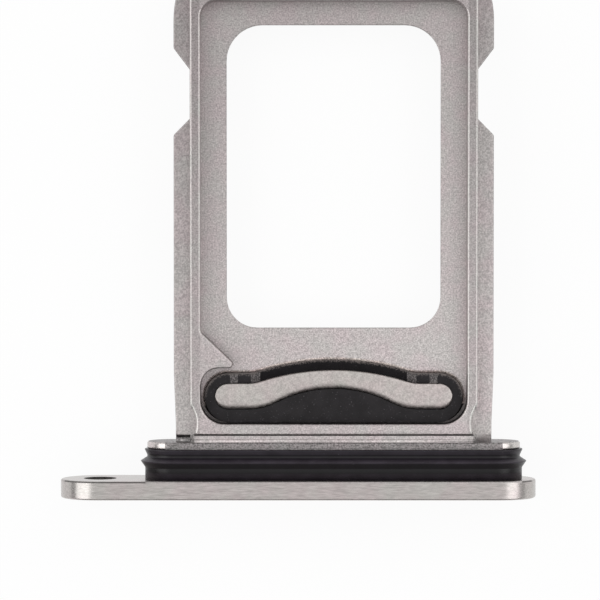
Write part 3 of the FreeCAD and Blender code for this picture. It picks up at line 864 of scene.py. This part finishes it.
@dataclass
class TrayBody:
    """The machined body: faceplate, shoulder and carrier in one piece."""

    node: str = "tray_body"
    slot: str = "body_metal"
    edge_round: float = 0.075
    rim_slack: float = 0.018
    face_depth: float = 0.03
    plate_back: float = 0.63
    shoulder_end: float = 1.88
    shoulder_middle: float = 1.18
    shoulder_start: float = 1.67
    shoulder_flat_half: float = 5.55
    pinhole_middle: float = -6.62
    pinhole_reach: float = 0.71
    carrier_top: float = 0.80
    rail_inside: float = 4.42
    rail_outside: float = 4.773
    rail_round: float = 0.07
    pocket_start: float = 5.5
    pale_break_from: float = 3.1
    web_top: float = 0.097
    scallop_depth: float = 0.21
    scallop_end: float = 3.3
    scallop_slack: float = 0.03
    inner_slack: float = 0.01
    groove_end: float = 2.145
    block_slit_level: float = 0.70
    wing_slit_level: float = 0.24
    wing_slit_reach: float = 0.5
    wing_slit_y: float = 2.03
    facing: float = 0.9
    back_facing: float = 0.8
    rim_slope: Span = (0.2, 0.85)
    break_slope: Span = (0.3, 0.95)
    edge_slope: Span = (0.08, 0.99)

    def build(self) -> None:
        """Makes the body and dresses each of its zones."""
        piece = SoftenedBody(self.node, "body", self.edge_round).piece()
        dress(piece, BODY_FINISHES, self.zone)
        register(piece, self.node)

    def zone(self, centre: Vector, normal: Vector) -> Zone:
        """Tells which zone a face is in.

        Args:
            centre: Middle of the face, in millimetres.
            normal: Its outward direction.

        Returns:
            The zone.
        """
        if self.in_pinhole(centre, normal):
            return Zone.PINHOLE
        if centre.y < self.face_depth and normal.y < -self.facing:
            return Zone.OUTER_FACE
        if centre.y < self.plate_back + self.rim_slack:
            sloping = self.rim_slope[0] < normal.y < self.rim_slope[1]
            on_rim = sloping and centre.y > self.plate_back - self.rail_round
            return Zone.PLATE_RIM if on_rim else Zone.PLATE_EDGE
        if centre.y < self.shoulder_end + self.rim_slack / 2:
            return self.shoulder_zone(centre, normal)
        # Painted shade in the slits at the carrier's foot.
        if self.in_groove(centre):
            return Zone.GROOVE
        # The break round the insert's hole is pale above pale_break_from and painted in shade below
        # it.
        if self.on_hole_break(centre, normal):
            return Zone.HOLE_BREAK if centre.y > self.pale_break_from else Zone.GROOVE
        # Painted shade on the left wing's foot, in the shoulder's dark metal.
        if self.in_left_root_shade(centre):
            return Zone.SHOULDER_FLAT
        # Rail rounds: burnished along the rails, a painted highlight over the scallops.
        if self.on_rail_edge(centre, normal):
            return Zone.SCALLOP_HIGHLIGHT if centre.y < self.scallop_end else Zone.BURNISHED
        if abs(normal.z) > self.break_slope[0]:
            return Zone.CARRIER
        # Upright walls get painted shade, darkest round the insert's recess.
        inside = abs(centre.x - self.shoulder_middle) < self.rail_inside + self.rail_round
        in_recess = inside and centre.y < self.pocket_start
        return Zone.RECESS_WALL if in_recess else Zone.CARRIER_WALL

    def shoulder_zone(self, centre: Vector, normal: Vector) -> Zone:
        """Tells which zone a face of the shoulder is in.

        Args:
            centre: Middle of the face, in millimetres.
            normal: Its outward direction.

        Returns:
            The zone: the round ends, the rim beside the seal, or the rough rest.
        """
        if normal.y > self.back_facing:
            return Zone.SHOULDER_FLAT
        if abs(centre.x - self.shoulder_middle) > self.shoulder_flat_half:
            return Zone.SHOULDER_END
        # The rim beside the seal carries a painted highlight.
        return Zone.SHOULDER_RIM if centre.y < self.shoulder_start else Zone.SHOULDER_FLAT

    def on_hole_break(self, centre: Vector, normal: Vector) -> bool:
        """Tells whether a face is on the web's broken edge round the insert."""
        sloping = self.break_slope[0] < abs(normal.z) < self.break_slope[1]
        return sloping and centre.y < self.pocket_start and abs(centre.z) < self.web_top

    def in_left_root_shade(self, centre: Vector) -> bool:
        """Tells whether a face is on the left wing's foot below its slit, which is painted in
        shade.
        """
        return centre.y < self.wing_slit_y and centre.x < self.shoulder_middle - self.rail_outside

    def in_groove(self, centre: Vector) -> bool:
        """Tells whether a face is in a slit at the carrier's foot.

        Args:
            centre: Middle of the face, in millimetres.

        Returns:
            True in the block's slit and in the left wing's slit.
        """
        if centre.y > self.groove_end:
            return False
        past_rail = abs(centre.x - self.shoulder_middle) - self.rail_outside
        if past_rail > 0.0:
            return abs(centre.z) < self.wing_slit_level and past_rail < self.wing_slit_reach
        return self.wing_slit_level < abs(centre.z) < self.block_slit_level

    def on_rail_edge(self, centre: Vector, normal: Vector) -> bool:
        """Tells whether a face is on a rounded edge of a rail: burnished by handling along the
        rail, with a painted highlight over the scallops.

        Args:
            centre: Middle of the face, in millimetres.
            normal: Its outward direction.

        Returns:
            True on the rounds along both sides of each rail, and over the scallops, where the
            highlight is painted.
        """
        sloping = self.edge_slope[0] < abs(normal.z) < self.edge_slope[1]
        if abs(centre.z) < self.carrier_top - self.rail_round or not sloping:
            return False
        across = abs(centre.x - self.shoulder_middle)
        if centre.y < self.scallop_end:
            scallop_reach = self.scallop_depth + self.edge_round + self.scallop_slack
            return across > self.rail_outside - scallop_reach
        if across > self.rail_outside - self.rail_round:
            return True
        past_inside = across - self.rail_inside
        return -self.inner_slack < past_inside < self.rail_round and centre.y > self.pocket_start

    def in_pinhole(self, centre: Vector, normal: Vector) -> bool:
        """Tells whether a face is part of the pinhole's bore or of its tapered mouth."""
        away = math.hypot(centre.x - self.pinhole_middle, centre.z)
        return away < self.pinhole_reach and abs(normal.y) < self.facing


@dataclass
class ShoulderSeal:
    """Rubber ring round the shoulder: a lipped section carried along a long round path."""

    node: str = "shoulder_seal"
    slot: str = "seal_rubber"
    length: float = 12.45
    height: float = 1.78
    offset: float = 1.18
    plate_back: float = 0.63
    foot: float = -0.25
    tip_round: float = 0.025
    round_share: float = 0.45
    round_steps: int = 4
    end_share: float = 0.4999
    end_steps: int = 48
    merge: float = 0.0005
    section: list[tuple[float, float]] = field(
        default_factory=lambda: [
            (0.07, 0.0), (0.07, 0.385), (0.22, 0.60), (0.0, 0.74),
            (0.0, 0.80), (0.08, 0.97), (0.08, 1.0),
        ]
    )

    def section_mesh(self) -> Mesh:
        """Makes the section as a closed line, with each corner of its open side rounded.

        Returns:
            A mesh of points and edges: X is the height over the shoulder's rim and Y the
            distance from the faceplate, in metres.
        """
        corners = [Vector((*corner, 0.0)) * MM for corner in self.section]
        feet = [Vector((self.foot * MM, corner.y, 0.0)) for corner in (corners[0], corners[-1])]
        points = [feet[0], corners[0]]
        for before, corner, after in zip(corners, corners[1:], corners[2:]):
            back, ahead = before - corner, after - corner
            shorter = min(back.length, ahead.length)
            reach = min(self.tip_round * MM, self.round_share * shorter)
            start = corner + back.normalized() * reach
            end = corner + ahead.normalized() * reach
            for step in range(self.round_steps + 1):
                share = step / self.round_steps
                points.append(start.lerp(corner, share).lerp(corner.lerp(end, share), share))
        points += [corners[-1], feet[1]]
        mesh = bpy.data.meshes.new("seal_section")
        edges = [(index, (index + 1) % len(points)) for index in range(len(points))]
        mesh.from_pydata(points, edges, [])
        return mesh

    def sweep_tree(self, rubber: Material) -> NodeTree:
        """Builds the node tree that carries the section round the shoulder.

        Args:
            rubber: Material of the ring.

        Returns:
            The tree, with inputs for the path's length, height and place.
        """
        group = bpy.data.node_groups.new("seal_sweep", "GeometryNodeTree")
        floats = [(name, "INPUT", "Float") for name in ("Length", "Height", "Offset", "Plate Back")]
        for name, side, kind in (
            ("Section", "INPUT", "Geometry"), *floats, ("End Steps", "INPUT", "Int"),
            ("Ring", "OUTPUT", "Geometry"),
        ):
            group.interface.new_socket(name, in_out=side, socket_type="NodeSocket" + kind)
        tree = Tree(group)
        given = tree.add("NodeGroupInput").outputs
        path = tree.add(
            "GeometryNodeCurvePrimitiveQuadrilateral",
            {"Width": given["Length"], "Height": given["Height"]},
            mode="RECTANGLE",
        )
        radius = tree.math("MULTIPLY", given["Height"], self.end_share)
        ends = tree.add(
            "GeometryNodeFilletCurve",
            {"Curve": path.outputs["Curve"], "Radius": radius, "Count": given["End Steps"]},
            mode="POLY",
        )
        outline = tree.add("GeometryNodeMeshToCurve", {"Mesh": given["Section"]})
        ring = tree.add(
            "GeometryNodeCurveToMesh",
            {"Curve": ends.outputs["Curve"], "Profile Curve": outline.outputs["Curve"]},
        )
        place = tree.add("ShaderNodeCombineXYZ", {"X": given["Offset"], "Y": given["Plate Back"]})
        stand = tree.add("GeometryNodeTransform", {
            "Geometry": ring.outputs["Mesh"],
            "Translation": place.outputs["Vector"],
            "Rotation": (math.pi / 2, 0.0, 0.0),
        })
        smooth = tree.add("GeometryNodeSetShadeSmooth", {"Geometry": stand.outputs["Geometry"]})
        real = tree.add("GeometryNodeRealizeInstances", {"Geometry": smooth.outputs["Geometry"]})
        dressed = tree.add(
            "GeometryNodeSetMaterial",
            {"Geometry": real.outputs["Geometry"], "Material": rubber},
        )
        tree.add("NodeGroupOutput", {"Ring": dressed.outputs["Geometry"]})
        return group

    def build(self) -> None:
        """Makes the ring."""
        piece = new_object("seal", self.section_mesh())
        sweep = piece.modifiers.new("sweep", "NODES")
        sweep.node_group = self.sweep_tree(SEAL_FINISH.material())
        sizes = {
            "Length": self.length * MM,
            "Height": self.height * MM,
            "Offset": self.offset * MM,
            "Plate Back": self.plate_back * MM,
            "End Steps": self.end_steps,
        }
        for socket in sweep.node_group.interface.items_tree:
            if socket.in_out == "INPUT" and socket.name in sizes:
                sweep[socket.identifier] = sizes[socket.name]
        as_plain_mesh(piece)
        outward(piece.data, self.merge * MM)
        register(piece, self.node)


@dataclass
class RetainerElastomer:
    """Black moulded insert that holds the spring bar."""

    node: str = "retainer_elastomer"
    slot: str = "insert_elastomer"
    edge_round: float = 0.02
    edge_segments: int = 3
    deep_level: float = 0.3
    slant_across: float = 0.3
    slant_along: float = 0.1
    slant_slope: Span = (0.2, 0.97)

    def build(self) -> None:
        """Makes the insert and dresses its zones."""
        piece = SoftenedSolid(self.node, "insert", self.edge_round, self.edge_segments).piece()
        dress(piece, INSERT_FINISHES, self.zone)
        register(piece, self.node)

    def zone(self, centre: Vector, normal: Vector) -> Moulding:
        """Tells which zone a face is in.

        Args:
            centre: Middle of the face, in millimetres.
            normal: Its outward direction.

        Returns:
            The zone.
        """
        sloping = self.slant_slope[0] < abs(normal.z) < self.slant_slope[1]
        if sloping and abs(normal.x) > self.slant_across and abs(normal.y) < self.slant_along:
            return Moulding.SLANT
        return Moulding.SLOT if abs(centre.z) < self.deep_level else Moulding.TOP


@dataclass
class RetainerArch:
    """Metal spring bar: two round lobes joined by an arched bar, with rounded edges."""

    node: str = "retainer_arch"
    slot: str = "spring_metal"
    middle_x: float = 1.18
    lobe_y: float = 3.385
    lobe_radius: float = 0.43
    lobe_half: float = 3.52
    rise: float = 0.44
    crown_thickness: float = 0.61
    crown_radius: float = 8.0
    foot_radius: float = 1.5
    underside_radius: float = 4.2
    flare_radius: float = 1.9
    top: float = 0.50
    card_side_round: float = 0.04
    plate_side_round: float = 0.22
    round_steps: int = 6
    lobe_steps: int = 40
    foot_steps: int = 12
    crown_steps: int = 48
    merge: float = 0.001

    def arc(
        self, centre: Vector, radius: float, start: float, end: float, steps: int
    ) -> list[Vector]:
        """Samples an arc without its last point.

        Args:
            centre: Middle of the arc.
            radius: Its radius.
            start: Angle of its first point, in radians.
            end: Angle of its last point.
            steps: How many points.

        Returns:
            The points, in millimetres.
        """
        turns = [start + (end - start) * step / steps for step in range(steps)]
        return [centre + Vector((math.cos(turn), math.sin(turn))) * radius for turn in turns]

    def bend(
        self, middle_y: float, rise: float, crown: float, foot: float, foot_y: float
    ) -> list[Vector]:
        """Samples the left to right edge of the bar: a foot arc, the crown and a foot arc.

        Args:
            middle_y: Height of the crown's middle.
            rise: How far the crown stands over its feet.
            crown: Radius of the crown.
            foot: Radius of the two foot arcs.
            foot_y: Height where the feet end.

        Returns:
            The points, in millimetres.
        """
        turn = math.acos(1 - rise / (crown + foot))
        reach = (crown + foot) * math.sin(turn)
        up = math.pi / 2
        centres = [Vector((side * reach, foot_y + foot)) for side in (-1.0, 1.0)]
        left = self.arc(centres[0], foot, -up, -up + turn, self.foot_steps)
        middle = Vector((0.0, middle_y - crown))
        top = self.arc(middle, crown, up + turn, up - turn, self.crown_steps)
        right = self.arc(centres[1], foot, -up - turn, -up, self.foot_steps)
        return left + top + right + [Vector((reach, foot_y))]

    def outline(self) -> list[Vector]:
        """Samples the bar's outline.

        Returns:
            The points against the clock, in millimetres about the bar's middle.
        """
        up = math.pi / 2
        lobe_top = self.lobe_y + self.lobe_radius
        lobe_foot = self.lobe_y - self.lobe_radius
        crown_y = lobe_top + self.rise
        under_y = crown_y - self.crown_thickness
        over = self.bend(crown_y, self.rise, self.crown_radius, self.foot_radius, lobe_top)
        under = self.bend(
            under_y, under_y - lobe_foot, self.underside_radius, self.flare_radius, lobe_foot
        )
        right = Vector((self.lobe_half, self.lobe_y))
        left = Vector((-self.lobe_half, self.lobe_y))
        points = list(reversed(over))
        points += self.arc(left, self.lobe_radius, up, 3 * up, self.lobe_steps)
        points.append(left - Vector((0.0, self.lobe_radius)))
        points += under
        points += self.arc(right, self.lobe_radius, -up, up, self.lobe_steps)
        points.append(right + Vector((0.0, self.lobe_radius)))
        return points

    def ring(self, angle: float) -> list[Vector]:
        """Makes one turn of points along the rounded top edge.

        Args:
            angle: How far up the round they lie, from a quarter turn at the side to 0 on top.

        Returns:
            The points, in millimetres.
        """
        points = self.outline()
        count = len(points)
        ring = []
        for index, spot in enumerate(points):
            along = points[(index + 1) % count] - points[index - 1]
            inward = Vector((-along.y, along.x)).normalized()
            share = max(0.0, inward.y)
            size = self.card_side_round * (1.0 - share) + self.plate_side_round * share
            place = spot + inward * size * (1.0 - math.sin(angle))
            level = self.top - size * (1.0 - math.cos(angle))
            ring.append(Vector((place.x + self.middle_x, place.y, level)))
        return ring

    def build(self) -> None:
        """Makes the bar."""
        work = bmesh.new()
        steps = range(self.round_steps + 1)
        over = [self.ring(math.pi / 2 * step / self.round_steps) for step in steps]
        under = [[Vector((spot.x, spot.y, -spot.z)) for spot in ring] for ring in reversed(over)]
        rings = [[work.verts.new(spot * MM) for spot in ring] for ring in over + under]
        for upper, lower in zip(rings, rings[1:]):
            for index in range(len(upper)):
                after = (index + 1) % len(upper)
                work.faces.new((upper[index], lower[index], lower[after], upper[after]))
        work.faces.new(rings[0])
        work.faces.new(list(reversed(rings[-1])))
        mesh = bpy.data.meshes.new("spring_bar")
        work.to_mesh(mesh)
        work.free()
        outward(mesh, self.merge * MM)
        piece = new_object("spring_bar", mesh)
        piece.data.polygons.foreach_set("use_smooth", [True] * len(piece.data.polygons))
        settle = piece.modifiers.new("settle", "WEIGHTED_NORMAL")
        settle.keep_sharp = True
        as_plain_mesh(piece)
        piece.data.materials.append(ARCH_FINISH.material())
        register(piece, self.node)


@dataclass(frozen=True)
class Softbox:
    """Rectangular studio lamp that faces the tray."""

    name: str
    turn: float
    rise: float
    distance: float
    width: float
    height: float
    radiance: float
    target: tuple[float, float, float] = (0.0, 9.0, 0.0)

    def place(self) -> None:
        """Puts the lamp in the scene."""
        lamp = bpy.data.lights.new(self.name, "AREA")
        lamp.shape = "RECTANGLE"
        lamp.size = self.width * MM
        lamp.size_y = self.height * MM
        lamp.energy = self.radiance * math.pi * lamp.size * lamp.size_y
        turn = math.radians(self.turn)
        rise = math.radians(self.rise)
        away = Vector((
            math.sin(turn) * math.cos(rise), -math.cos(turn) * math.cos(rise), math.sin(rise)
        ))
        body = new_object(self.name, lamp)
        body.location = (Vector(self.target) + away * self.distance) * MM
        body.rotation_euler = away.to_track_quat("Z", "Y").to_euler()


@dataclass
class Studio:
    """Table, surroundings, lamps and camera."""

    table_level: float = -1.31
    table_size: float = 1200.0
    rise: Span = (0.3, 0.95)
    horizon: Span = (0.22, 0.74)
    horizon_reach: Span = (-0.8, 0.8)
    overhead: Span = (0.88, 0.96)
    overhead_reach: Span = (-0.6, 0.6)
    sides: Span = (0.8, 1.2)
    sides_reach: Span = (-0.8, 0.8)
    camera_distance: float = 99.0
    pixels_to_mm: float = 29.97
    picture_width: int = 600
    sensor_width: float = 36.0
    camera_range: Span = (10.0, 10000.0)
    middle: Span = (0.058, 9.257)
    drop: float = 80.0
    lamps: list[Softbox] = field(
        default_factory=lambda: [
            Softbox("left_box", -90.0, 39.5, 150.0, 240.0, 118.0, 1.5),
            Softbox("right_box", 90.0, 41.0, 150.0, 240.0, 92.0, 1.08),
        ]
    )

    def build(self) -> None:
        """Sets up everything round the tray."""
        self.place_table()
        self.place_surroundings()
        for lamp in self.lamps:
            lamp.place()
        self.place_camera()
        bpy.context.scene.view_settings.view_transform = "Standard"
        LOG.info("studio: %d lamps", len(self.lamps))

    def place_table(self) -> None:
        """Lays the table top under the faceplate's lower edge."""
        half = self.table_size / 2 * MM
        level = self.table_level * MM
        mesh = bpy.data.meshes.new("table")
        spots = [
            (side * half, end * half, level) for side, end in ((-1, -1), (1, -1), (1, 1), (-1, 1))
        ]
        mesh.from_pydata(spots, [], [(0, 1, 2, 3)])
        table = new_object("table", mesh)
        mesh.materials.append(FloorFinish().material())

    def place_surroundings(self) -> None:
        """Gives the room a pale ceiling and a dimmer horizon, dimmest in front of the tray.

        Horizon and overhead are told by their strengths in front of the tray and behind it, and
        the sides by the gains to its left and right. Each reach says between which directions
        the first becomes the second, and the rise where the horizon ends and overhead begins.
        """
        world = bpy.data.worlds.new("room")
        bpy.context.scene.world = world
        world.use_nodes = True
        tree = Tree(world.node_tree)
        way = tree.add("ShaderNodeTexCoord").outputs["Generated"]
        parts = tree.add("ShaderNodeSeparateXYZ", {"Vector": way}).outputs
        height = tree.ramp(parts["Z"], self.rise, (0.0, 1.0))
        low = tree.ramp(parts["Y"], self.horizon_reach, self.horizon)
        high = tree.ramp(parts["Y"], self.overhead_reach, self.overhead)
        side = tree.ramp(parts["X"], self.sides_reach, self.sides)
        strength = tree.math("MULTIPLY", tree.blend(height, low, high), side)
        white = (1.0, 1.0, 1.0, 1.0)
        room = tree.add("ShaderNodeBackground", {"Color": white, "Strength": strength})
        tree.end(room.outputs["Background"], "World")

    def place_camera(self) -> None:
        """Sets the camera almost straight above the carrier."""
        lens = bpy.data.cameras.new("camera")
        camera = new_object("camera", lens)
        bpy.context.scene.camera = camera
        tilt = math.atan2(self.drop / self.pixels_to_mm, self.camera_distance)
        camera.location = Vector((*self.middle, self.camera_distance)) * MM
        camera.rotation_euler = (-tilt, 0.0, 0.0)
        seen_width = self.picture_width / self.pixels_to_mm
        lens.sensor_width = self.sensor_width
        lens.lens = self.sensor_width * self.camera_distance / seen_width
        lens.clip_start, lens.clip_end = (edge * MM for edge in self.camera_range)


def corners(bounds: object) -> list[list[float]]:
    """Turns a box into plain lists of numbers."""
    return [[float(part) for part in corner] for corner in bounds]


def main() -> None:
    """Builds the studio and each piece of the tray."""
    logging.basicConfig(level=logging.INFO, format="%(name)s %(message)s")
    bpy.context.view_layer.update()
    Studio().build()
    for part in (TrayBody(), ShoulderSeal(), RetainerElastomer(), RetainerArch()):
        part.build()


if __name__ == "__main__":
    main()
